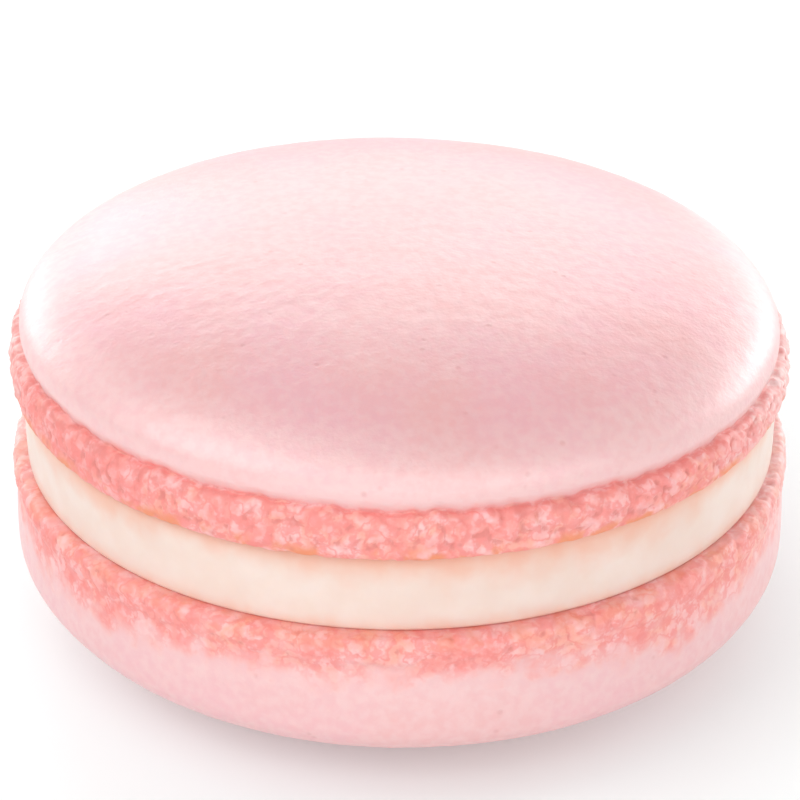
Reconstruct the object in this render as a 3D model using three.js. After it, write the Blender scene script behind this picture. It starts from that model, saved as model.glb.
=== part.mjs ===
// A French macaron: two domed almond shells, each risen on a craggy foot, with a disc of cream between them.
// Millimetres, +Z up. The origin is the middle of the flat spot that the macaron rests on.
import * as THREE from "three";

// Driving dimensions, each shell measured from its flat underside (0) to the top of its dome.
const TOP_SHELL = {
  height: 7.7, // underside to the top of the dome
  edgeRadius: 22.2, // where the flat underside ends and the foot begins
  footReach: 22.5, // how far out the foot bulges
  footHeight: 2.1, // the foot's top, where the smooth skin begins
  rimRadius: 21.4, // the skin's lower lip, tucked in above the foot
  sideRows: 1, // rings of points between that lip and the widest part of the dome
  capRadius: 21.8, // the widest part of the dome
  capRise: 2.7, // the height of that widest part
  roundness: [2.36, 2.12], // the dome's curve: 2 is an ellipse, more is flatter on top or fuller at the side
  flatRadius: 0, // the flat spot on the dome
  lean: [-0.019, -0.02], // how far the dome tips over its foot along X and Y, as slopes
  cragFade: 0.3, // how far up the skin the crags fade out
  draw: 11, // start of the shell's own random draws
};
const BOTTOM_SHELL = {
  height: 10.8,
  edgeRadius: 22.1,
  footReach: 22.8,
  footHeight: 1.9,
  rimRadius: 22.65,
  sideRows: 2,
  capRadius: 22.8,
  capRise: 5.4,
  roundness: [2.6, 2.17],
  flatRadius: 7,
  lean: [0.011, 0],
  cragFade: 2,
  draw: 47,
};
const FOOT_FULLNESS = 0.6; // below 1 the foot's side is squarer than a half round
const CRAG = {
  depth: 1.15, // how far the foot's tallest bubbles stand proud of the deepest hollows
  level: 0.68, // the share of that depth that lies inside the foot's own curve
  coarse: 2.1, // spacing of the large bubbles
  fine: 1.2, // spacing of the small ones
  fineShare: 0.4, // how much of the depth the small ones take
  smallest: 0.5, // the smallest bubble, as a share of the largest
};
const DOME_WAVE = { depth: 0.16, spacing: 11, easeIn: 0.3, easeOut: 0.7 }; // slow unevenness of the skin
const CREAM = {
  thickness: 4.8,
  radius: 21.7, // the middle of the bulging side
  edgeRadius: 21.3, // where the side rolls over on to the shells
  edgeRound: 0.7, // height of that roll
  wave: { depth: 0.12, spacing: 3.5 }, // how far the side wanders in and out
  draw: 83,
};

// How many rings each surface has, and how many points a ring has: many on the crags, fewer on the dome.
const FOOT = { rows: 7, points: 240 };
const DOME = { rows: 10, points: 80, crowding: 0.9 }; // crowding below 1 puts more rings near the middle
const SIDE = { rows: 5, points: 80 }; // the cream's side

const lerp = THREE.MathUtils.lerp;
const ease = THREE.MathUtils.smoothstep; // ease(x, a, b) is a smooth step from 0 to 1 as x goes from a to b

// A repeatable draw from 0 to 1 for one cell of space.
function drawAt(ix, iy, iz, draw) {
  let h = Math.imul(ix, 374761393) ^ Math.imul(iy, 668265263);
  h ^= Math.imul(iz, 1440662683) ^ Math.imul(draw, 1274126177);
  h = Math.imul(h ^ (h >>> 13), 1103515245);
  h = Math.imul(h ^ (h >>> 15), 668265263);
  return ((h ^ (h >>> 16)) >>> 0) / 4294967296;
}

// Slow noise from -1 to 1: draws at the corners of a grid, blended between them.
function wander(point, spacing, draw) {
  const at = point.clone().divideScalar(spacing);
  const cell = at.clone().floor();
  const part = at.clone().sub(cell);
  let sum = 0;
  for (let corner = 0; corner < 8; corner++) {
    const step = [corner & 1, (corner >> 1) & 1, corner >> 2];
    const share = step.reduce((product, side, k) => {
      const t = ease(part.getComponent(k), 0, 1);
      return product * (side ? t : 1 - t);
    }, 1);
    sum += share * drawAt(cell.x + step[0], cell.y + step[1], cell.z + step[2], draw);
  }
  return 2 * sum - 1;
}

// Height, 0 to 1, of the round bubble that a point lies on.
// Each cell of space holds one bubble, of a drawn place and size.
function bubble(point, spacing, draw) {
  const at = point.clone().divideScalar(spacing);
  const cell = at.clone().floor();
  let highest = 0;
  for (let neighbour = 0; neighbour < 27; neighbour++) {
    const ix = cell.x + (neighbour % 3) - 1;
    const iy = cell.y + (Math.floor(neighbour / 3) % 3) - 1;
    const iz = cell.z + Math.floor(neighbour / 9) - 1;
    const dx = ix + drawAt(ix, iy, iz, draw) - at.x;
    const dy = iy + drawAt(ix, iy, iz, draw + 1) - at.y;
    const dz = iz + drawAt(ix, iy, iz, draw + 2) - at.z;
    const size = lerp(CRAG.smallest, 1, drawAt(ix, iy, iz, draw + 3));
    highest = Math.max(highest, size * size - dx * dx - dy * dy - dz * dz);
  }
  return Math.sqrt(highest);
}

// How far the foot's crust stands out at a point: large bubbles with small ones on them.
function crag(point, draw) {
  const coarse = bubble(point, CRAG.coarse, draw);
  const fine = bubble(point, CRAG.fine, draw + 5);
  return CRAG.depth * (lerp(coarse, fine, CRAG.fineShare) - CRAG.level);
}

// A closed surface from rings of points, from the middle of the underside, out and up, to the middle on top.
// Each row is { radius, height, points } and may add crag, wave and lean, from 0 to 1.
function ringedSurface(rows, shape) {
  const positions = [];
  const rings = rows.map((row, k) => {
    const before = rows[Math.max(0, k - 1)];
    const after = rows[Math.min(rows.length - 1, k + 1)];
    const outward = new THREE.Vector2(after.height - before.height, before.radius - after.radius).normalize();
    const ring = { first: positions.length / 3, count: row.radius > 0 ? row.points : 1 };
    for (let i = 0; i < ring.count; i++) {
      const turn = (2 * Math.PI * i) / ring.count;
      const way = new THREE.Vector2(Math.cos(turn), Math.sin(turn));
      positions.push(...shape(row, way, outward).toArray());
    }
    return ring;
  });
  const faces = [];
  for (let k = 1; k < rings.length; k++) {
    zip(rings[k - 1], rings[k], faces);
  }
  const surface = new THREE.BufferGeometry();
  surface.setAttribute("position", new THREE.Float32BufferAttribute(positions, 3));
  surface.setIndex(faces);
  surface.computeVertexNormals();
  return surface;
}

// Triangles between two neighbouring rings, which may differ in how many points they have.
function zip(inner, outer, faces) {
  const innerSteps = inner.count > 1 ? inner.count : 0;
  const outerSteps = outer.count > 1 ? outer.count : 0;
  const pick = (ring, i) => ring.first + (i % ring.count);
  let i = 0;
  let j = 0;
  while (i < innerSteps || j < outerSteps) {
    const innerNext = i < innerSteps ? (i + 1) / innerSteps : 2;
    const outerNext = j < outerSteps ? (j + 1) / outerSteps : 2;
    if (innerNext <= outerNext) {
      faces.push(pick(inner, i), pick(inner, i + 1), pick(outer, j));
      i++;
    } else {
      faces.push(pick(inner, i), pick(outer, j + 1), pick(outer, j));
      j++;
    }
  }
}

// The foot: a rounded band from the edge of the underside out to its reach and back in under the skin's lip.
function footRows(shell) {
  const rows = [];
  for (let k = 0; k <= FOOT.rows; k++) {
    const angle = Math.PI * (k / FOOT.rows - 0.5);
    const up = (1 + Math.sin(angle)) / 2;
    const inside = lerp(shell.edgeRadius, shell.rimRadius, up);
    rows.push({
      radius: lerp(inside, shell.footReach, Math.max(0, Math.cos(angle)) ** FOOT_FULLNESS),
      height: shell.footHeight * up,
      points: FOOT.points,
      crag: k === 0 ? 0 : 1,
      lean: up,
    });
  }
  return rows;
}

// The side of the smooth skin, from its lip up to the widest part, where the foot's crags fade out.
function sideRows(shell) {
  const rows = [];
  for (let k = 1; k <= shell.sideRows; k++) {
    const up = k / (shell.sideRows + 1);
    const height = lerp(shell.footHeight, shell.capRise, up);
    rows.push({
      radius: lerp(shell.rimRadius, shell.capRadius, Math.sin((up * Math.PI) / 2)),
      height,
      points: FOOT.points,
      crag: 1 - ease(height - shell.footHeight, 0, shell.cragFade),
      lean: 1,
    });
  }
  return rows;
}

// The round shoulder and the dome, from the widest part up to the flat spot or the middle.
function domeRows(shell) {
  const [flatter, fuller] = shell.roundness;
  const end = Math.acos((shell.flatRadius / shell.capRadius) ** (flatter / 2));
  const rise = (shell.height - shell.capRise) / Math.sin(end) ** (2 / fuller);
  const rows = [];
  for (let k = 0; k < DOME.rows; k++) {
    const angle = end * (k / DOME.rows) ** DOME.crowding;
    const radius = shell.capRadius * Math.cos(angle) ** (2 / flatter);
    rows.push({
      radius,
      height: shell.capRise + rise * Math.sin(angle) ** (2 / fuller),
      points: radius > shell.capRadius / 2 ? DOME.points : DOME.points / 2,
      lean: shell.flatRadius ? ease(radius, shell.flatRadius, shell.capRadius) : 1,
      wave: ease(angle, 0, DOME_WAVE.easeIn) * (1 - ease(angle, DOME_WAVE.easeOut * end, end)),
    });
  }
  if (shell.flatRadius) {
    rows.push({ radius: shell.flatRadius, height: shell.height, points: DOME.points / 2 });
  }
  rows.push({ radius: 0, height: shell.height, points: 1 });
  return rows;
}

function shellGeometry(shell) {
  const underside = { radius: 0, height: 0, points: 1 };
  const rows = [underside, ...footRows(shell), ...sideRows(shell), ...domeRows(shell)];
  return ringedSurface(rows, (row, way, outward) => {
    const point = new THREE.Vector3(way.x * row.radius, way.y * row.radius, row.height);
    const crust = (row.crag || 0) * crag(point, shell.draw);
    const wave = (row.wave || 0) * DOME_WAVE.depth * wander(point, DOME_WAVE.spacing, shell.draw);
    const lean = (row.lean || 0) * (shell.lean[0] * point.x + shell.lean[1] * point.y);
    point.x += way.x * outward.x * (crust + wave);
    point.y += way.y * outward.x * (crust + wave);
    point.z += outward.y * (crust + wave) + lean;
    return point;
  });
}

// The cream: a thick disc whose side bulges a little and rolls over at both edges.
function creamGeometry() {
  const rows = [{ radius: 0, height: 0, points: 1 }];
  for (let k = 0; k <= SIDE.rows; k++) {
    const height = (CREAM.thickness * k) / SIDE.rows;
    const fromEdge = Math.min(height, CREAM.thickness - height);
    const roll = Math.sqrt(1 - (1 - Math.min(1, fromEdge / CREAM.edgeRound)) ** 2);
    const radius = lerp(CREAM.edgeRadius, CREAM.radius, roll);
    rows.push({ radius, height, points: SIDE.points, wave: roll });
  }
  rows.push({ radius: 0, height: CREAM.thickness, points: 1 });
  return ringedSurface(rows, (row, way) => {
    const point = new THREE.Vector3(way.x * row.radius, way.y * row.radius, row.height);
    const wave = (row.wave || 0) * CREAM.wave.depth * wander(point, CREAM.wave.spacing, CREAM.draw);
    point.x += way.x * wave;
    point.y += way.y * wave;
    return point;
  });
}

function named(name, geometry, material) {
  const mesh = new THREE.Mesh(geometry, material);
  mesh.name = name;
  return mesh;
}

const almondShell = new THREE.MeshStandardMaterial({ color: 0xf4b9bd, roughness: 0.62, metalness: 0 });
const vanillaCream = new THREE.MeshStandardMaterial({ color: 0xf8e2d0, roughness: 0.45, metalness: 0 });

const macaron = new THREE.Group();

// The bottom shell lies on its dome, so it is turned over.
const bottomShell = named("bottom_shell", shellGeometry(BOTTOM_SHELL), almondShell);
bottomShell.rotation.x = Math.PI;
bottomShell.position.z = BOTTOM_SHELL.height;
macaron.add(bottomShell);

const cream = named("cream_filling", creamGeometry(), vanillaCream);
cream.position.z = BOTTOM_SHELL.height;
macaron.add(cream);

const topShell = named("top_shell", shellGeometry(TOP_SHELL), almondShell);
topShell.position.z = BOTTOM_SHELL.height + CREAM.thickness;
macaron.add(topShell);

export default macaron;
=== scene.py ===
import math

import bpy
import numpy as np
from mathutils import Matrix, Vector


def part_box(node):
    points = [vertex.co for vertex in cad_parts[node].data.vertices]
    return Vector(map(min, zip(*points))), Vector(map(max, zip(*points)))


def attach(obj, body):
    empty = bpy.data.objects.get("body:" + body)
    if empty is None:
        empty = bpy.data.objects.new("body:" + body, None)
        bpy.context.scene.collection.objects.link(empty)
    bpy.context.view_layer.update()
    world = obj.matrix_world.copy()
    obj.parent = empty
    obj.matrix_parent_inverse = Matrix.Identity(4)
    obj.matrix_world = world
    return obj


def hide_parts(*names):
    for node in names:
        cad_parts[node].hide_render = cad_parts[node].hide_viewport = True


mm = 0.001

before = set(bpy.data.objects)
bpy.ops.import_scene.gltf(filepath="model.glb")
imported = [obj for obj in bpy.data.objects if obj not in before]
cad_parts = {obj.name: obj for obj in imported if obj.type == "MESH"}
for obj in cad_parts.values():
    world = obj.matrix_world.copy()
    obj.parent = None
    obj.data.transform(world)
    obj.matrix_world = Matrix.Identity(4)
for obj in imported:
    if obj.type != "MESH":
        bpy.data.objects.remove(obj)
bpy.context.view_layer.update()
creamLow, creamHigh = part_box("cream_filling")  # the shells' flat undersides lie on its two faces
print("frame loaded")

# camera, floor and lights

cameraPlace = {
    "elevation": math.radians(29.82),
    "distance": 146.3 * mm,
    "aim": Vector((0, 0, 12.21 * mm)),
    "lens": 111.49,
    "sensor": 36,
    "nearest": 0.01,
    "furthest": 10,
}
studio = {
    "floorWidth": 4.0,
    "floorColour": (0.75, 0.8, 0.8, 1),
    "floorRoughness": 0.6,
    "floorGlow": 0.15,  # a white table lit a little from below
    "white": (1, 1, 1, 1),
    "worldStrength": 0.44,
    "aim": Vector((0, 0, 0.012)),
    "distance": 0.5,
}
# each soft box: degrees round from the front, degrees up, width and height, power in watts
softBoxes = {
    "front": {"round": 0, "up": 10, "size": (0.60, 0.22), "power": 0.53},
    "frontHigh": {"round": 0, "up": 45, "size": (0.40, 0.30), "power": 0.42},
    "rightFront": {"round": 40, "up": 22, "size": (0.36, 0.28), "power": 0.43},
    "rightLow": {"round": 120, "up": 10, "size": (0.30, 0.14), "power": 0.74},
    "rightBack": {"round": 140, "up": 20, "size": (0.30, 0.20), "power": 0.28},
    "rightRim": {"round": 145, "up": 6, "size": (0.25, 0.10), "power": 0.28},
    "back": {"round": 180, "up": 22, "size": (0.40, 0.22), "power": 0.72},
    "leftBack": {"round": 215, "up": 16, "size": (0.35, 0.20), "power": 0.62},
    "leftRim": {"round": 225, "up": 6, "size": (0.25, 0.10), "power": 0.30},
    "leftHigh": {"round": 270, "up": 62, "size": (0.30, 0.30), "power": 0.31},
    "leftFront": {"round": 300, "up": 40, "size": (0.35, 0.30), "power": 0.79},
}


def placeCamera():
    back = Vector((0, -math.cos(cameraPlace["elevation"]), math.sin(cameraPlace["elevation"])))
    bpy.ops.object.camera_add(location=cameraPlace["aim"] + back * cameraPlace["distance"])
    camera = bpy.context.object
    camera.name = "camera"
    camera.rotation_euler = (-back).to_track_quat("-Z", "Y").to_euler()
    camera.data.lens = cameraPlace["lens"]
    camera.data.sensor_width = cameraPlace["sensor"]
    camera.data.clip_start = cameraPlace["nearest"]
    camera.data.clip_end = cameraPlace["furthest"]
    bpy.context.scene.camera = camera


def makeFloor():
    bpy.ops.object.select_all(action="DESELECT")
    bpy.ops.mesh.primitive_plane_add(size=studio["floorWidth"])
    floor = bpy.context.object
    floor.name = "floor"
    material = bpy.data.materials.new("whiteTable")
    material.use_nodes = True
    shader = material.node_tree.nodes["Principled BSDF"]
    shader.inputs["Base Color"].default_value = studio["floorColour"]
    shader.inputs["Roughness"].default_value = studio["floorRoughness"]
    shader.inputs["Emission Color"].default_value = studio["white"]
    shader.inputs["Emission Strength"].default_value = studio["floorGlow"]
    floor.data.materials.append(material)


def makeLights():
    for name, box in softBoxes.items():
        turn, up = math.radians(box["round"]), math.radians(box["up"])
        way = Vector((math.sin(turn) * math.cos(up), -math.cos(turn) * math.cos(up), math.sin(up)))
        bpy.ops.object.light_add(type="AREA", location=studio["aim"] + way * studio["distance"])
        lamp = bpy.context.object
        lamp.name = name
        lamp.rotation_euler = (-way).to_track_quat("-Z", "Y").to_euler()
        lamp.data.shape = "RECTANGLE"
        lamp.data.size, lamp.data.size_y = box["size"]
        lamp.data.energy = box["power"]


def makeWorld():
    world = bpy.data.worlds.new("studioWorld")
    bpy.context.scene.world = world
    world.use_nodes = True
    sky = world.node_tree.nodes["Background"]
    sky.inputs["Color"].default_value = studio["white"]
    sky.inputs["Strength"].default_value = studio["worldStrength"]
    bpy.context.scene.view_settings.view_transform = "Standard"
    bpy.context.scene.view_settings.look = "None"


placeCamera()
makeFloor()
makeLights()
makeWorld()
print("studio ready")

# tools for modelling

weldDistance = 0.002 * mm


def only(piece):
    bpy.ops.object.select_all(action="DESELECT")
    piece.select_set(True)
    bpy.context.view_layer.objects.active = piece


def applyModifier(piece, kind, **settings):
    only(piece)
    bpy.ops.object.modifier_add(type=kind)
    modifier = piece.modifiers[-1]
    for setting, value in settings.items():
        setattr(modifier, setting, value)
    bpy.ops.object.modifier_apply(modifier=modifier.name)


def turnOutline(name, outline, steps):
    # an outline of (radius, height) points, drawn by extruding one vertex, then turned into a round
    bpy.ops.object.select_all(action="DESELECT")
    bpy.ops.mesh.primitive_plane_add(size=1 * mm)
    piece = bpy.context.object
    piece.name = piece.data.name = name
    bpy.ops.object.mode_set(mode="EDIT")
    bpy.ops.mesh.select_all(action="SELECT")
    bpy.ops.mesh.merge(type="CENTER")
    here = Vector((outline[0][0], 0, outline[0][1]))
    bpy.ops.transform.translate(value=here)
    for radius, height in outline[1:]:
        there = Vector((radius, 0, height))
        bpy.ops.mesh.extrude_region_move(TRANSFORM_OT_translate={"value": there - here})
        here = there
    bpy.ops.object.mode_set(mode="OBJECT")
    applyModifier(piece, "SCREW", axis="Z", angle=2 * math.pi, steps=steps, render_steps=steps)
    bpy.ops.object.mode_set(mode="EDIT")
    bpy.ops.mesh.select_all(action="SELECT")
    bpy.ops.mesh.remove_doubles(threshold=weldDistance)
    bpy.ops.mesh.normals_make_consistent(inside=False)
    bpy.ops.object.mode_set(mode="OBJECT")
    return piece


def points(piece):
    places = np.empty(len(piece.data.vertices) * 3)
    piece.data.vertices.foreach_get("co", places)
    return places.reshape(-1, 3)


def movePoints(piece, places):
    piece.data.vertices.foreach_set("co", places.ravel())
    piece.data.update()


def ease(value, start, end):
    # a soft step from 0 at start to 1 at end
    share = np.clip((value - start) / (end - start), 0, 1)
    return share * share * (3 - 2 * share)


def uneven(places, draw, waves):
    # an unevenness from about -1 to 1 round the edge, from waves that fit into it so many times
    draws = np.random.default_rng(draw)
    turn = np.arctan2(places[:, 1], places[:, 0])
    total = np.zeros(len(places))
    for count in waves:
        size = draws.uniform(0.5, 1)
        total += size * np.sin(count * turn + draws.uniform(0, 2 * math.pi))
    return total / math.sqrt(len(waves))


def roundAt(places, table):
    # a value that changes round the edge, from pairs of degrees round from the front and values
    turns, values = zip(*table)
    return np.interp(np.degrees(np.arctan2(places[:, 0], -places[:, 1])), turns, values, period=360)


def weigh(piece, name, weights):
    group = piece.vertex_groups.new(name=name)
    for index in np.nonzero(weights > 0)[0]:
        group.add([int(index)], float(weights[index]), "REPLACE")


def roughen(piece, group, layers, share=1):
    # each layer of relief: kind of texture, spacing, depth and the texture's value that doesn't move
    for name, (kind, spacing, depth, level) in layers.items():
        texture = bpy.data.textures.new(piece.name + name.capitalize(), kind)
        texture.noise_scale = spacing
        if kind == "VORONOI":
            texture.distance_metric = "DISTANCE_SQUARED"
        applyModifier(
            piece, "DISPLACE", texture=texture, strength=depth * share, mid_level=level, vertex_group=group,
            texture_coords="LOCAL",
        )


def paint(piece, name, values):
    layer = piece.data.attributes.new(name, "FLOAT", "POINT")
    layer.data.foreach_set("value", np.asarray(values, dtype=np.float32))


def hollowness(piece, rounds):
    # how far each point lies under the surface that its neighbours make when they are smoothed
    mesh = piece.data
    places = points(piece)
    edges = np.empty(len(mesh.edges) * 2, dtype=np.int32)
    mesh.edges.foreach_get("vertices", edges)
    left, right = edges.reshape(-1, 2).T
    count = np.bincount(edges, minlength=len(places))
    smooth = places.copy()
    for _ in range(rounds):
        for axis in range(3):
            total = np.bincount(left, smooth[right, axis], len(places))
            total += np.bincount(right, smooth[left, axis], len(places))
            smooth[:, axis] = total / count
    normals = np.empty(len(places) * 3, dtype=np.float32)
    mesh.vertex_normals.foreach_get("vector", normals)
    return ((smooth - places) * normals.reshape(-1, 3)).sum(1)


def finishPiece(piece, node, material):
    piece.data.materials.append(material)
    piece.vertex_groups.clear()
    only(piece)
    bpy.ops.object.shade_smooth()
    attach(piece, "root")
    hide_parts(node)
    print(piece.name, sum(len(face.vertices) - 2 for face in piece.data.polygons), "triangles")


# tools for materials

mixedSockets = (6, 7)  # the two colours that a Mix node takes
mixedColour = 2  # and the output with their mixture


def startMaterial(name):
    material = bpy.data.materials.new(name)
    material.use_nodes = True
    tree = material.node_tree
    place = addNode(tree, "ShaderNodeTexCoord").outputs["Object"]
    return material, tree, place


def fill(tree, socket, value):
    if isinstance(value, bpy.types.NodeSocket):
        tree.links.new(value, socket)
    else:
        socket.default_value = value


def fillAll(tree, node, inputs):
    for name, value in inputs.items():
        fill(tree, node.inputs[name], value)


def addNode(tree, kind, inputs=None, **settings):
    node = tree.nodes.new(kind)
    for setting, value in settings.items():
        setattr(node, setting, value)
    fillAll(tree, node, inputs or {})
    return node


def attributeOf(tree, name):
    return addNode(tree, "ShaderNodeAttribute", attribute_name=name).outputs["Fac"]


def between(tree, value, low, high, start=0, end=1):
    # start at low, end at high, and a soft step between them
    inputs = {"Value": value, "From Min": low, "From Max": high, "To Min": start, "To Max": end}
    node = addNode(tree, "ShaderNodeMapRange", inputs, interpolation_type="SMOOTHSTEP")
    return node.outputs["Result"]


def reckon(tree, operation, total, *values):
    for value in values:
        node = addNode(tree, "ShaderNodeMath", operation=operation)
        fill(tree, node.inputs[0], total)
        fill(tree, node.inputs[1], value)
        total = node.outputs["Value"]
    return total


def noiseOf(tree, place, size, detail, output="Fac"):
    node = addNode(tree, "ShaderNodeTexNoise", {"Vector": place, "Scale": 1 / size, "Detail": detail})
    return node.outputs[output]


def patches(tree, place, pattern, start=0, end=1):
    size, detail, low, high = pattern
    return between(tree, noiseOf(tree, place, size, detail), low, high, start, end)


def cells(tree, place, pattern, middle=1):
    spacing, low, high = pattern
    node = addNode(tree, "ShaderNodeTexVoronoi", {"Vector": place, "Scale": 1 / spacing})
    return between(tree, node.outputs["Distance"], low, high, middle, 0)


def bendPlace(tree, place, size, detail, reach):
    node = addNode(tree, "ShaderNodeVectorMath", operation="MULTIPLY_ADD")
    fill(tree, node.inputs[0], noiseOf(tree, place, size, detail, "Color"))
    fill(tree, node.inputs[1], (reach,) * 3)
    fill(tree, node.inputs[2], place)
    return node.outputs["Vector"]


def mixColours(tree, share, *colours):
    node = addNode(tree, "ShaderNodeMix", {"Factor": share}, data_type="RGBA")
    for socket, colour in zip(mixedSockets, colours):
        fill(tree, node.inputs[socket], colour)
    return node.outputs[mixedColour]


def layCoats(tree, colour, coats):
    # each coat lies over the ones before it, as far as its share lets it
    for share, coat in coats:
        colour = mixColours(tree, share, colour, coat)
    return colour


def bumpFrom(tree, height, bump, below=None):
    distance, strength = bump
    inputs = {"Height": height, "Distance": distance, "Strength": strength}
    if below:
        inputs["Normal"] = below
    return addNode(tree, "ShaderNodeBump", inputs).outputs["Normal"]


# almond shell: a satin pink skin, and a matt coral crust of small bubbles on the foot

almondLook = {
    "skinPink": (0.775, 0.39, 0.425, 1),
    "skinWarm": (0.775, 0.39, 0.39, 1),
    "skinPale": (0.80, 0.49, 0.485, 1),
    "pinholeRose": (0.60, 0.22, 0.22, 1),
    "crustCoral": (0.86, 0.27, 0.235, 1),
    "crustPeach": (0.86, 0.36, 0.275, 1),
    "crustPink": (0.88, 0.50, 0.51, 1),
    # painted highlight on the foot's sides
    "crustChalk": (0.88, 0.66, 0.64, 1),
    "crustRed": (0.80, 0.175, 0.155, 1),
    # painted shade for the crust's hollows, under the lip, at the seam and in open bubbles
    "crustDeep": (0.66, 0.15, 0.125, 1),
    "crustBrowned": (0.78, 0.22, 0.08, 1),
    # patches of noise: size, detail, and the noise's values where they start and where they are full
    "warmPatch": (7 * mm, 2, 0.35, 0.65),
    "speckle": (0.6 * mm, 3, 0.3, 0.7),
    "pinholePatch": (2.6 * mm, 2, 0.5, 0.62),
    "peachPatch": (2.6 * mm, 2, 0.4, 0.6),
    "pinkBlotch": (1.3 * mm, 2, 0.45, 0.62),
    "clot": (0.7 * mm, 3, 0.5, 0.62),
    "fleck": (0.5 * mm, 3, 0.42, 0.62),
    "brownSpot": (1.5 * mm, 3, 0.44, 0.58),
    "lipPatch": (0.7 * mm, 2, 0.4, 0.58),
    "bubblePatch": (1.6 * mm, 2, 0.5, 0.62),
    # round cells: spacing, and how far from the middle they are full and where they end
    "pinholes": (1.15 * mm, 0.05, 0.2),
    "bubbles": (0.8 * mm, 0.1, 0.38),
    "bubbleBend": (0.5 * mm, 1, 0.35 * mm),  # noise that pulls them out of round, and its reach
    # other noise: size and detail
    "veinNoise": (1.1 * mm, 3),
    "raggedNoise": (1.2 * mm, 3),
    "grainNoise": (0.25 * mm, 3),
    # steps: where each starts and where it is full
    "vein": (0.42, 0.5, 0.56),  # full in the middle
    "crest": (0.2, -0.8),
    "hollow": (0.3, 1.0),
    "bubbleCrust": (0.5, 1),
    "crustEdge": (0.7, 1.4),
    "mattEdge": (0, 0.6),
    # how much of each mark shows
    "speckleShare": 0.3,
    "pinholeShare": 0.35,
    "blotchShare": 0.75,
    "crestShare": 0.45,
    "redShare": 0.7,
    "chalkyRed": 0.4,  # what the painted highlight leaves of the red
    "fleckShare": 0.25,
    "bubbleShare": 0.7,
    "deepShare": 0.7,
    # bumps: depth and strength
    "grainBump": (0.035 * mm, 0.6),
    "pinholeBump": (-0.04 * mm, 0.3),
    "bubbleBump": (-0.12 * mm, 0.35),
    "skinRoughness": 0.42,
    "crustRoughness": 0.65,
    "refraction": 1.7,
    "gloss": 1.0,
    "softness": 0.2,  # the share of light that goes under the surface
    "softDepth": 0.5 * mm,
    "softReach": (1, 0.35, 0.25),  # of red, green and blue light
}
# of these marks, the hollow and lip ones carry painted shade, the hollow one also painted highlight on
# crests, the pale one painted light and shade, and the last one a painted highlight on the foot's sides
shellMarks = ("crust", "hollow", "browned", "lip", "pale", "toast", "chalk")


def colourSkin(tree, place, marks, pinholes):
    look = almondLook
    speckle = patches(tree, place, look["speckle"], -look["speckleShare"], look["speckleShare"])
    warm = patches(tree, place, look["warmPatch"])
    coats = (
        # painted light and shade: the pale coat by height, with random speckle
        (reckon(tree, "ADD", marks["pale"], speckle), look["skinPale"]),
        # painted shade in the pinholes
        (reckon(tree, "MULTIPLY", pinholes, look["pinholeShare"]), look["pinholeRose"]),
    )
    return layCoats(tree, mixColours(tree, warm, look["skinPink"], look["skinWarm"]), coats)


def redden(tree, place, chalk):
    # thin veins, where the noise is near one value, and clots
    look = almondLook
    swell = noiseOf(tree, place, *look["veinNoise"])
    start, middle, end = look["vein"]
    inner, outer = between(tree, swell, start, middle), between(tree, swell, middle, end, 1, 0)
    vein = reckon(tree, "MULTIPLY", inner, outer)
    red = reckon(tree, "MAXIMUM", vein, patches(tree, place, look["clot"]))
    return reckon(tree, "MULTIPLY", red, look["redShare"], between(tree, chalk, 0, 1, 1, look["chalkyRed"]))


def colourCrust(tree, place, marks, bubbles):
    look = almondLook
    peach = patches(tree, place, look["peachPatch"])
    blotches = reckon(tree, "MULTIPLY", patches(tree, place, look["pinkBlotch"]), look["blotchShare"])
    # painted highlight: a paler pink on the crumbs' crests
    crestHighlights = reckon(tree, "MULTIPLY", between(tree, marks["hollow"], *look["crest"]), look["crestShare"])
    flecks = between(tree, patches(tree, place, look["fleck"]), 1, 0)  # between the patches
    browned = reckon(tree, "MULTIPLY", marks["browned"], patches(tree, place, look["brownSpot"]))
    # painted shade under the lip, in patches
    underLip = reckon(tree, "MULTIPLY", marks["lip"], patches(tree, place, look["lipPatch"]))
    # painted shade: in the crumbs' hollows, under the lip and in open bubbles
    crustShaded = reckon(tree, "MAXIMUM", between(tree, marks["hollow"], *look["hollow"]), underLip, bubbles)
    coats = (
        (blotches, look["crustPink"]),
        (crestHighlights, look["crustPink"]),
        (marks["toast"], look["crustRed"]),
        (marks["chalk"], look["crustChalk"]),
        (redden(tree, place, marks["chalk"]), look["crustRed"]),
        (reckon(tree, "MULTIPLY", flecks, look["fleckShare"]), look["crustRed"]),
        (browned, look["crustBrowned"]),
        (reckon(tree, "MULTIPLY", crustShaded, look["deepShare"]), look["crustDeep"]),
    )
    return layCoats(tree, mixColours(tree, peach, look["crustCoral"], look["crustPeach"]), coats)


def burstBubbles(tree, place, crust):
    # small open bubbles, some way into the crust and only in places, which get painted shade and a sunken
    # bump
    look = almondLook
    burst = cells(tree, bendPlace(tree, place, *look["bubbleBend"]), look["bubbles"], look["bubbleShare"])
    inPlaces = patches(tree, place, look["bubblePatch"])
    return reckon(tree, "MULTIPLY", burst, inPlaces, between(tree, crust, *look["bubbleCrust"]))


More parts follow.
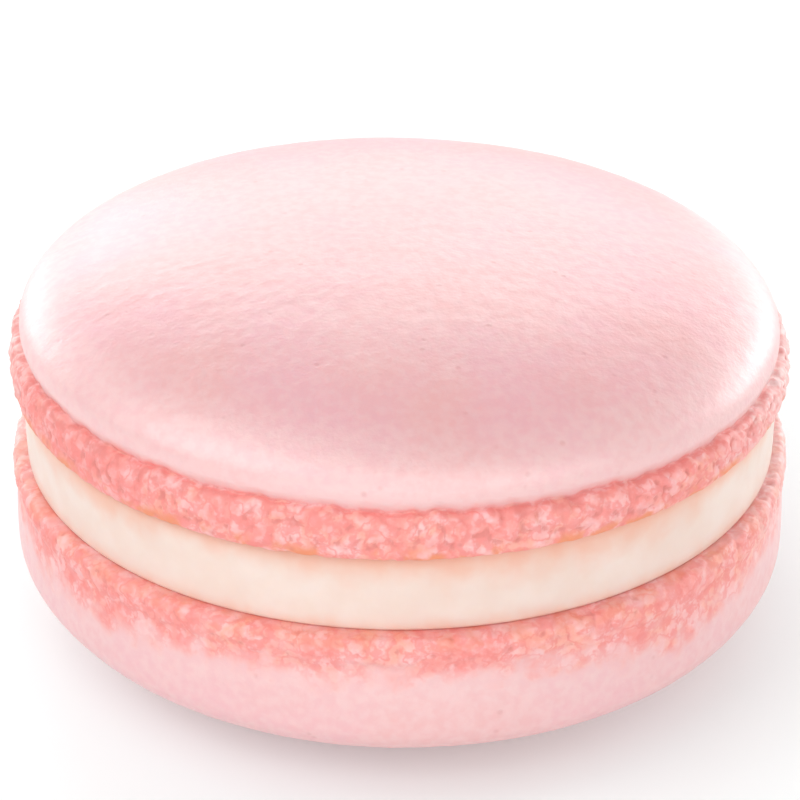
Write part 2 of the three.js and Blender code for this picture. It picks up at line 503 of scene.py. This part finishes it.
def makeAlmond():
    look = almondLook
    material, tree, place = startMaterial("almondShell")
    marks = {name: attributeOf(tree, name) for name in shellMarks}
    pinholes = cells(tree, place, look["pinholes"])
    pinholes = reckon(tree, "MULTIPLY", pinholes, patches(tree, place, look["pinholePatch"]))
    bubbles = burstBubbles(tree, place, marks["crust"])
    skinColour = colourSkin(tree, place, marks, pinholes)
    crustColour = colourCrust(tree, place, marks, bubbles)

    ragged = reckon(tree, "ADD", marks["crust"], noiseOf(tree, place, *look["raggedNoise"]))
    crusted = between(tree, ragged, *look["crustEdge"])
    grain = bumpFrom(tree, noiseOf(tree, place, *look["grainNoise"]), look["grainBump"])
    sunk = bumpFrom(tree, pinholes, look["pinholeBump"], grain)
    sunk = bumpFrom(tree, reckon(tree, "MULTIPLY", bubbles, crusted), look["bubbleBump"], sunk)
    matt = between(tree, crusted, *look["mattEdge"], look["skinRoughness"], look["crustRoughness"])
    surface = {
        "Base Color": mixColours(tree, crusted, skinColour, crustColour),
        "Roughness": matt,
        "IOR": look["refraction"],
        "Specular IOR Level": look["gloss"],
        "Subsurface Weight": look["softness"],
        "Subsurface Radius": look["softReach"],
        "Subsurface Scale": look["softDepth"],
        "Normal": sunk,
    }
    fillAll(tree, tree.nodes["Principled BSDF"], surface)
    return material


almondShell = makeAlmond()
print("almond ready")

# the two shells, measured up from the flat underside of each

nowhere = ((0, 0),)  # nought all the way round the edge
topShell = {
    "node": "top_shell",
    "underside": creamHigh.z,
    "rise": 1,  # the dome is above the underside
    "height": 7.7 * mm,
    "edgeRadius": 22.1 * mm,  # of the flat underside
    "footReach": 22.45 * mm,
    "footHeight": 2.1 * mm,
    "shoulders": (0.5, 0.7),  # below 1 the lower and the upper half of the foot's side are squarer
    "lipRadius": 21.62 * mm,  # where the foot meets the skin
    "lipWave": 0.13 * mm,
    "capRadius": 21.8 * mm,  # the widest part of the dome
    "capRise": 2.8 * mm,  # and its height
    "roundness": (2.36, 2.12),  # 2 is an ellipse, more is fuller
    "flatRadius": 0,
    "lean": (-0.019, -0.02),  # slope to the right and to the back, below 0 where it tips down
    "relief": 1.0,
    "reliefEnd": (1.7 * mm, 2.25 * mm),  # the heights between which the crags fade out
    "evenEdge": 0.7,  # how much of the relief is taken off the lower edge
    "denseEnd": 2.4 * mm,  # the fine mesh of the foot goes up to here
    "rowLength": 0.29 * mm,
    "draw": 11,
    # height in millimetres and share of the crust's colour, then of the skin's pale colour, which is
    # painted light and shade
    "crust": ((2.05, 1.0), (2.18, 0.7), (2.32, 0.36), (2.7, 0.12), (3.2, 0.0)),
    "paleness": (
        (2.1, 1.1), (2.7, 1.0), (3.8, 0.8), (4.8, 0.7), (5.7, 0.15), (6.5, 0.12), (6.95, 0.4), (7.3, 0.52),
    ),
    "ragged": 0,  # how unevenly the crust ends on the skin
    "browned": 1.0,
    # degrees round from the front, and how many millimetres the crust climbs there
    "spread": nowhere,
    # degrees round from the front, and the shares of four colours of the crust there: the seam's painted
    # shade (a painted highlight below 0), the painted shade under the lip, toast, and a painted highlight
    # on the foot's sides
    "seam": nowhere,
    "underLip": ((-90, 0.9), (-45, 0.9), (-20, 0.5), (0, 0.3), (20, 0.6), (38, 0.1), (90, 0.1), (180, 0.5)),
    "toast": (
        (-90, 0.15), (-70, 0.38), (-48, 0.38), (-25, 0.05), (0, 0),
        (45, 0.1), (65, 0.1), (90, 0), (180, 0.1),
    ),
    "chalk": (
        (-130, 0.45), (-90, 0.9), (-75, 0.5), (-62, 0), (46, 0),
        (60, 0.4), (76, 0.85), (95, 0.9), (180, 0.3),
    ),
}
bottomShell = {
    "node": "bottom_shell",
    "underside": creamLow.z,
    "rise": -1,
    "height": creamLow.z,
    "edgeRadius": 22.0 * mm,
    "footReach": 22.75 * mm,
    "footHeight": 1.9 * mm,
    "shoulders": (0.5, 2.0),
    "lipRadius": 22.6 * mm,
    "lipWave": 0,
    "capRadius": 22.8 * mm,
    "capRise": 5.4 * mm,
    "roundness": (2.6, 2.17),
    "flatRadius": 7 * mm,
    "lean": (-0.011, 0),
    "relief": 0.8,
    "reliefEnd": (-0.2 * mm, 3.5 * mm),
    "evenEdge": 0.2,
    "denseEnd": 3.8 * mm,
    "rowLength": 0.36 * mm,
    "draw": 47,
    "crust": ((0.0, 0.72), (0.35, 0.9), (0.8, 0.8), (2.0, 0.58), (2.6, 0.36), (3.3, 0.14), (4.2, 0.0)),
    # painted light and shade: the skin's pale colour by height
    "paleness": ((2.0, 0.9), (3.2, 0.8), (4.5, 0.55), (7.0, 0.42), (10.8, 0.4)),
    "ragged": 0.35 * mm,
    "browned": 0.35,
    "spread": (
        (-90, 0.6), (-55, 1.2), (-25, 0.6), (0, 0), (20, 0.2), (40, 1.3), (80, 0.8), (180, 0.5), (270, 0.6),
    ),
    # painted shade at the seam, and below 0 a painted highlight
    "seam": (
        (-90, 0), (-50, 0.3), (0, 0.4), (10, 0.3), (18, -0.4), (40, -0.8), (90, -0.8), (180, 0.3), (270, 0),
    ),
    "underLip": nowhere,
    "toast": ((-90, 0), (0, 0), (60, 0), (180, 0.1)),
    "chalk": ((-130, 0.4), (-90, 0.8), (-68, 0), (56, 0), (76, 0.7), (95, 0.8), (180, 0.25)),
}
foot = {
    "steps": 1180,  # points round the edge
    "rowLength": 0.12 * mm,
    "sideLength": 1.5,  # length of the side's curve, as a share of its height
    "innerRings": (3.0 * mm, 1.6 * mm),  # how far inside the edge the underside's rings lie
    "underWidth": 1.2 * mm,  # a strip of fine rows inside the edge
    "underRows": 9,
    "edgeWidth": 0.35 * mm,  # over which the relief comes in from the underside
    "evenHeights": (0.05 * mm, 0.7 * mm),  # between which the even edge ends
    "waveStart": 0.9 * mm,  # the lip's waves move the mesh from here
    "waveEnd": 3.2 * mm,  # up to here
    "seamHeight": 0.05 * mm,  # the seam's painted shade lies below this
    "seamRadius": 22 * mm,  # and inside this
    "lipStart": (1.6 * mm, 1.9 * mm),  # heights between which the painted shade under the lip comes in
    "lipEnd": (2.06 * mm, 2.2 * mm),  # and goes out
    "brownedEnd": (0.15 * mm, 0.85 * mm),
    "smoothing": 12,  # rounds
    "hollowDepth": 0.085 * mm,  # a hollow as deep as this gets the full painted shade
    "slowWaves": (3, 5, 8, 13, 21, 34, 55),
    "quickWaves": (9, 17, 29, 46, 71, 103, 139),
}
crumbs = {
    "clump": ("CLOUDS", 3.2 * mm, 0.26 * mm, 0.5),
    "lump": ("VORONOI", 0.95 * mm, -0.30 * mm, 0.27),
    "crumb": ("VORONOI", 0.44 * mm, -0.18 * mm, 0.25),
    "grain": ("CLOUDS", 0.22 * mm, 0.09 * mm, 0.5),
}
skin = {
    "steps": 512,  # points round the edge
    "gap": 0.2 * mm,  # between the foot's mesh and the skin's, which a bridge closes
    "sideRows": 2,
    "curvePoints": 2000,  # from which the dome's even steps are read
    "flatRings": (0.75, 0.5, 0.25),  # of the flat spot, as shares of its radius
    "reliefHeight": 1.5 * mm,  # over which the relief comes in above the dome's widest part
    "flatWidth": 3 * mm,  # and over which it goes out round the flat spot
    "climbHeight": 2 * mm,  # over which the crust's climb comes in
    "paleShift": 0.15 * mm,  # how far the pale colour, painted light and shade, wanders up and down
}
dimples = {
    "wave": ("CLOUDS", 11 * mm, 0.16 * mm, 0.5),
    "dimple": ("CLOUDS", 0.75 * mm, 0.05 * mm, 0.5),
}


def sideRadius(shell, height):
    up = (height - shell["footHeight"]) / (shell["capRise"] - shell["footHeight"])
    return shell["lipRadius"] + (shell["capRadius"] - shell["lipRadius"]) * math.sin(up * math.pi / 2)


def sideOutline(shell, start, end, rows):
    levels = [start + (end - start) * row / rows for row in range(rows)]
    return [(sideRadius(shell, level), level) for level in levels]


def domeOutline(shell):
    # a superellipse in steps of even length, from the widest part to the flat spot or the middle
    flatter, fuller = shell["roundness"]
    end = math.acos((shell["flatRadius"] / shell["capRadius"]) ** (flatter / 2))
    rise = (shell["height"] - shell["capRise"]) / math.sin(end) ** (2 / fuller)
    angle = np.linspace(0, end, skin["curvePoints"])
    radius = shell["capRadius"] * np.cos(angle).clip(0) ** (2 / flatter)
    height = shell["capRise"] + rise * np.sin(angle) ** (2 / fuller)
    length = np.concatenate([[0], np.cumsum(np.hypot(np.diff(radius), np.diff(height)))])
    stops = np.linspace(0, length[-1], round(length[-1] / shell["rowLength"]) + 1)
    outline = list(zip(np.interp(stops, length, radius), np.interp(stops, length, height)))
    if shell["flatRadius"]:
        outline += [(shell["flatRadius"] * share, shell["height"]) for share in skin["flatRings"]]
    else:
        outline = outline[:-1]
    return [(float(radius), float(height)) for radius, height in outline] + [(0, shell["height"])]


def undersideOutline(shell):
    edge, rows = shell["edgeRadius"], foot["underRows"]
    rings = [edge - inside for inside in foot["innerRings"]]
    rings += [edge - foot["underWidth"] * (1 - row / rows) for row in range(rows)]
    return [(0, 0)] + [(ring, 0) for ring in rings]


def footOutline(shell):
    edge, reach, lip = shell["edgeRadius"], shell["footReach"], shell["lipRadius"]
    high, step = shell["footHeight"], foot["rowLength"]
    outline = undersideOutline(shell)
    rows = round(high * foot["sideLength"] / step)
    for row in range(rows + 1):
        angle = math.pi * (row / rows - 0.5)
        up = (1 + math.sin(angle)) / 2
        inside = edge + (lip - edge) * up
        bulge = max(0, math.cos(angle)) ** shell["shoulders"][angle > 0]
        outline.append((inside + (reach - inside) * bulge, high * up))
    rows = round((shell["denseEnd"] - high) / step)
    return outline + sideOutline(shell, high + step, high + step * (rows + 1), rows)


def skinOutline(shell):
    start = shell["denseEnd"] + skin["gap"]
    return sideOutline(shell, start, shell["capRise"], skin["sideRows"]) + domeOutline(shell)


def standOn(shell, outline):
    return [(radius, shell["underside"] + shell["rise"] * height) for radius, height in outline]


def spotOn(shell, piece):
    places = points(piece)
    return places, np.hypot(places[:, 0], places[:, 1]), shell["rise"] * (places[:, 2] - shell["underside"])


def leanOver(shell, piece):
    places, radius, height = spotOn(shell, piece)
    share = np.clip(height / shell["footHeight"], 0, 1)
    if shell["flatRadius"]:
        onDome = height > shell["capRise"]
        share *= np.where(onDome, ease(radius, shell["flatRadius"], shell["capRadius"]), 1)
    wavy = ease(height, foot["waveStart"], shell["footHeight"])
    wavy *= 1 - ease(height, shell["footHeight"], foot["waveEnd"])
    wave = shell["lipWave"] * uneven(places, shell["draw"] + 1, foot["quickWaves"])
    tilt = shell["lean"][0] * places[:, 0] + shell["lean"][1] * places[:, 1]
    places[:, 2] += share * tilt + wavy * wave
    movePoints(piece, places)


def shareAt(height, table):
    levels, shares = zip(*table)
    return np.interp(height, np.array(levels) * mm, shares)


def paintHeights(shell, piece, places, height):
    # the crust fades into the skin; painted light and shade make the skin palest beside the foot and
    # deepest round the dome's shoulder
    climb = mm * roundAt(places, shell["spread"])
    climb += shell["ragged"] * uneven(places, shell["draw"], foot["slowWaves"])
    climb *= ease(height, 0, skin["climbHeight"])
    shift = skin["paleShift"] * uneven(places, shell["draw"] + 2, foot["slowWaves"])
    paint(piece, "crust", shareAt(height - climb, shell["crust"]))
    paint(piece, "pale", shareAt(height + shift, shell["paleness"]))
    # toast, and the painted highlight on the foot's sides, by degrees round
    for colour in ("toast", "chalk"):
        paint(piece, colour, roundAt(places, shell[colour]))


def growCrust(shell, piece):
    places, radius, height = spotOn(shell, piece)
    out = ease(radius, shell["edgeRadius"] - foot["edgeWidth"], shell["edgeRadius"])
    out *= 1 - shell["evenEdge"] * (1 - ease(height, *foot["evenHeights"]))
    paintHeights(shell, piece, places, height)
    before = hollowness(piece, foot["smoothing"])
    weigh(piece, "crumbs", out * (1 - ease(height, *shell["reliefEnd"])))
    roughen(piece, "crumbs", crumbs, shell["relief"])
    # painted shade in the crumbs' hollows, and painted highlight on their crests where this is below 0
    hollow = np.clip((hollowness(piece, foot["smoothing"]) - before) / foot["hollowDepth"], -1, 1)
    # at the seam: painted shade, or painted highlight where the seam's table is below 0
    atSeam = (height < foot["seamHeight"]) & (radius < foot["seamRadius"])
    # painted shade under the lip
    lip = roundAt(places, shell["underLip"]) * ease(height, *foot["lipStart"])
    paint(piece, "hollow", np.where(atSeam, roundAt(places, shell["seam"]), hollow * out))
    paint(piece, "browned", shell["browned"] * (1 - ease(height, *foot["brownedEnd"])))
    paint(piece, "lip", lip * (1 - ease(height, *foot["lipEnd"])))


def grainSkin(shell, piece):
    places, radius, height = spotOn(shell, piece)
    weight = ease(height, shell["capRise"], shell["capRise"] + skin["reliefHeight"])
    if shell["flatRadius"]:
        weight *= ease(radius, shell["flatRadius"], shell["flatRadius"] + skin["flatWidth"])
    paintHeights(shell, piece, places, height)
    weigh(piece, "skin", weight)
    roughen(piece, "skin", dimples)


def bridgeRims(first, second):
    only(first)
    second.select_set(True)
    bpy.ops.object.join()
    bpy.ops.object.mode_set(mode="EDIT")
    bpy.ops.mesh.select_mode(type="EDGE")
    bpy.ops.mesh.select_all(action="DESELECT")
    bpy.ops.mesh.select_non_manifold(
        extend=False, use_wire=False, use_boundary=True, use_multi_face=False,
        use_non_contiguous=False, use_verts=False,
    )
    bpy.ops.mesh.bridge_edge_loops()
    bpy.ops.mesh.select_mode(type="VERT")
    bpy.ops.mesh.select_all(action="SELECT")
    bpy.ops.mesh.normals_make_consistent(inside=False)
    bpy.ops.object.mode_set(mode="OBJECT")


def makeShell(name, shell):
    body = turnOutline(name, standOn(shell, footOutline(shell)), foot["steps"])
    growCrust(shell, body)
    cap = turnOutline(name + "Skin", standOn(shell, skinOutline(shell)), skin["steps"])
    grainSkin(shell, cap)
    leanOver(shell, body)
    leanOver(shell, cap)
    bridgeRims(body, cap)
    finishPiece(body, shell["node"], almondShell)


makeShell("topShell", topShell)
makeShell("bottomShell", bottomShell)
print("shells ready")

# the cream

cream = {
    "radius": 21.9 * mm,  # the middle of the bulging side
    "upperEdge": 21.35 * mm,
    "lowerEdge": 21.7 * mm,
    "upperRound": 0.9 * mm,
    "lowerRound": 0.22 * mm,
    "innerRing": 2 * mm,  # inside the lower edge
    "edgeRing": 0.8 * mm,  # inside both edges
    "rows": 26,
    "lowerRows": 7,
    "steps": 600,
    "squeeze": 0.988,  # a little narrower from front to back
    "smearRadius": (20.5 * mm, 21.4 * mm),  # between which the smears come in
    "smearHeight": 0.8 * mm,  # over which they come in from each face
    # degrees round from the front and how far down the painted shade and warm bounce light under the upper
    # shell reach, in millimetres
    "stain": (
        (-90, 2.0), (-45, 2.8), (-25, 2.2), (0, 2.5), (30, 3.0),
        (60, 2.3), (90, 1.6), (180, 1.8), (270, 2.0),
    ),
    "stainUneven": 0.2,
    "stainBelow": 1.1 * mm,  # how far up the painted shade and warm bounce light over the lower shell reach
    "belowShare": 0.6,
    "draw": 5,
}
smears = {
    "swell": ("CLOUDS", 3.5 * mm, 0.10 * mm, 0.5),
    "smear": ("CLOUDS", 1.2 * mm, 0.03 * mm, 0.5),
}
vanillaLook = {
    "ivory": (0.78, 0.615, 0.54, 1),
    "pale": (0.80, 0.66, 0.595, 1),
    # painted shade and warm bounce light near the shells
    "peach": (0.80, 0.40, 0.28, 1),
    "palePatch": (2.5 * mm, 3, 0.35, 0.7),
    "stainPatch": (1.4 * mm, 2, 0.3, 0.7),
    "stainSpread": 0.1,
    "stainEdge": (0.05, 1.05),
    "stainShare": 0.85,
    "grainNoise": (0.3 * mm, 3),
    "grainBump": (0.02 * mm, 0.5),
    "roughness": 0.45,
    "softness": 0.3,
    "softDepth": 0.8 * mm,
    "softReach": (1, 0.6, 0.4),
}


def makeVanilla():
    look = vanillaLook
    material, tree, place = startMaterial("vanillaCream")
    colour = mixColours(tree, patches(tree, place, look["palePatch"]), look["ivory"], look["pale"])
    # painted shade and warm bounce light along the edges next to the shells, in patches
    wander = patches(tree, place, look["stainPatch"], -look["stainSpread"], look["stainSpread"])
    creamShaded = reckon(tree, "ADD", attributeOf(tree, "edge"), wander)
    creamShaded = between(tree, creamShaded, *look["stainEdge"], 0, look["stainShare"])
    surface = {
        "Base Color": mixColours(tree, creamShaded, colour, look["peach"]),
        "Roughness": look["roughness"],
        "Subsurface Weight": look["softness"],
        "Subsurface Radius": look["softReach"],
        "Subsurface Scale": look["softDepth"],
        "Normal": bumpFrom(tree, noiseOf(tree, place, *look["grainNoise"]), look["grainBump"]),
    }
    fillAll(tree, tree.nodes["Principled BSDF"], surface)
    return material


def creamOutline(low, high):
    upperEdge, lowerEdge, lowerRound = cream["upperEdge"], cream["lowerEdge"], cream["lowerRound"]
    start = low + lowerRound
    levels = [low + lowerRound * row / cream["lowerRows"] for row in range(cream["lowerRows"])]
    levels += [start + (high - low - lowerRound) * row / cream["rows"] for row in range(cream["rows"] + 1)]
    outline = [(0, low), (lowerEdge - cream["innerRing"], low), (lowerEdge - cream["edgeRing"], low)]
    for level in levels:
        edge = lowerEdge if level < start else upperEdge
        share = min(1, (level - low) / lowerRound, (high - level) / cream["upperRound"])
        roll = math.sqrt(1 - (1 - share) ** 2)
        outline.append((edge + (cream["radius"] - edge) * roll, level))
    return outline + [(upperEdge - cream["edgeRing"], high), (0, high)]


def makeCream():
    low, high = creamLow.z, creamHigh.z
    disc = turnOutline("creamFilling", creamOutline(low, high), cream["steps"])
    places = points(disc)
    radius = np.hypot(places[:, 0], places[:, 1])
    upper, lower = high - places[:, 2], places[:, 2] - low
    side = ease(radius, *cream["smearRadius"]) * ease(np.minimum(upper, lower), 0, cream["smearHeight"])
    weigh(disc, "side", side)
    roughen(disc, "side", smears)
    wander = 1 + cream["stainUneven"] * uneven(places, cream["draw"], foot["slowWaves"])
    # painted shade and warm bounce light: down from the upper shell and up from the lower one
    depth = mm * roundAt(places, cream["stain"]) * wander
    above = 1 - np.clip(upper / depth, 0, 1)
    below = 1 - np.clip(lower / cream["stainBelow"], 0, 1)
    paint(disc, "edge", np.maximum(above, cream["belowShare"] * below))
    places = points(disc)
    places[:, 1] *= cream["squeeze"]
    movePoints(disc, places)
    finishPiece(disc, "cream_filling", makeVanilla())


makeCream()
print("cream ready")
